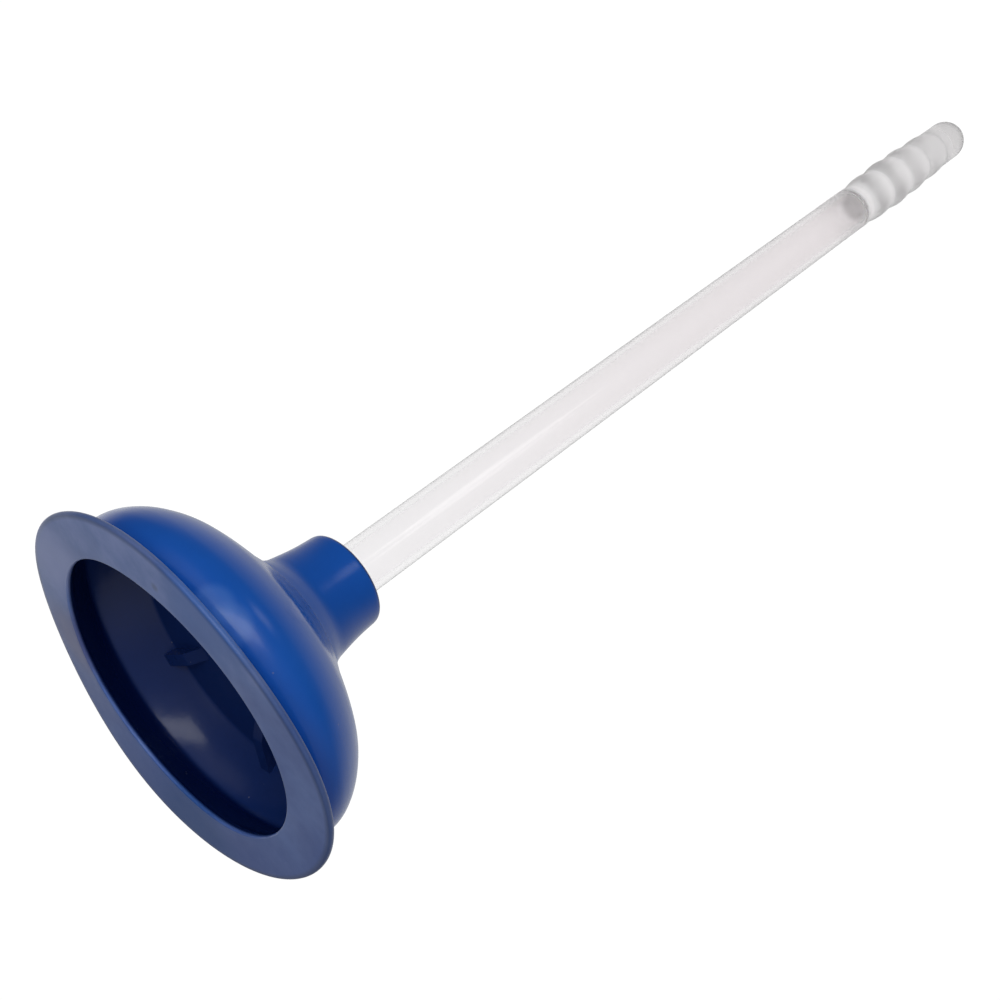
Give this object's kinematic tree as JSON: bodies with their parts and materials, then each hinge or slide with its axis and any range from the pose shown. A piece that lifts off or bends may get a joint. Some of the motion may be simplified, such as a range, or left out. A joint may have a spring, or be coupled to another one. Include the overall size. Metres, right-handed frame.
{
  "type": "sink plunger",
  "caption": "Sink plunger with a blue rubber force cup, a wide flat lip, a tapered neck and a clear round handle with finger bulges at its closed end.",
  "frame": {"origin": "centre of the cup's mouth, on the plane that the lip seals on", "axes": "+Z along the axis of the cup and the handle, from the mouth towards the grip; +X and +Y in the lip's plane"},
  "size_m": [0.14, 0.14, 0.4822],
  "materials": {
    "lip_rubber": "matte",
    "cup_rubber": "satin",
    "clear_plastic": "glossy, clear"
  },
  "bodies": {
    "rim": {"lip_ring": "lip_rubber", "bell_wall": "cup_rubber"},
    "crown": {"crown": "cup_rubber"},
    "neck": {"neck": "cup_rubber"},
    "handle": {"handle": "clear_plastic"}
  },
  "joints": [
    {"name": "plunge", "type": "slide", "parent": "rim", "child": "crown", "axis": [0, 0, 1], "range_m": [-0.02, 0], "stiffness_N_per_m": 2500, "springref_m": 0.001, "deforming": ["bell_wall"]},
    {"name": "tilt", "type": "hinge", "parent": "crown", "child": "neck", "pos_m": [0, 0, 0.046], "axis": [1, 0, 0], "range_deg": [-8, 8], "stiffness_Nm_per_rad": 3},
    {"name": "pull_out", "type": "slide", "parent": "neck", "child": "handle", "axis": [0, 0, 1], "range_m": [0, 0.036]}
  ]
}
